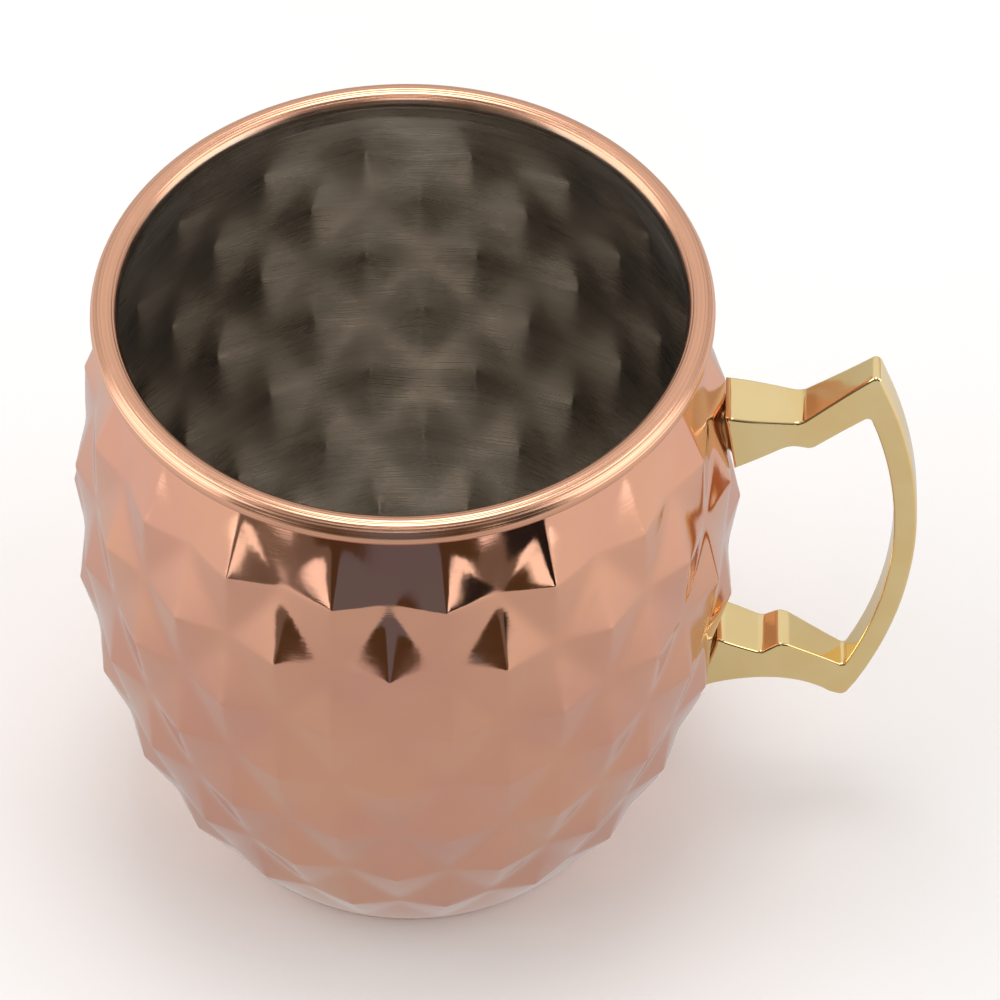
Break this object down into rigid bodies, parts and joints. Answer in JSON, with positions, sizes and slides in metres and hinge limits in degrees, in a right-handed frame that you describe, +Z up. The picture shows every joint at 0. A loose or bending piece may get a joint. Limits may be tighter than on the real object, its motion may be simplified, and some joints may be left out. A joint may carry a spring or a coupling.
{
  "type": "copper mug",
  "caption": "Barrel-shaped drinking mug with a studded copper jacket, steel liner, rolled copper rim and an angular brass handle on one side.",
  "frame": {"origin": "centre of the flat base, on the surface that the mug stands on", "axes": "+Z up along the cup's axis, +X from the axis towards the handle, XZ is the handle's plane"},
  "size_m": [0.1227, 0.0966, 0.101],
  "materials": {
    "copper": "polished copper, lacquered, with soft pressed studs",
    "steel": "brushed round the cup, satin",
    "rim_copper": "copper, finely turned round the rim",
    "handle_brass": "polished pale brass casting",
    "braze": "brazing metal, slightly dull"
  },
  "bodies": {
    "root": {"copper_jacket": "copper", "steel_liner": "steel", "rolled_rim": "rim_copper", "handle": "handle_brass", "upper_braze": "braze", "lower_braze": "braze"}
  },
  "joints": []
}
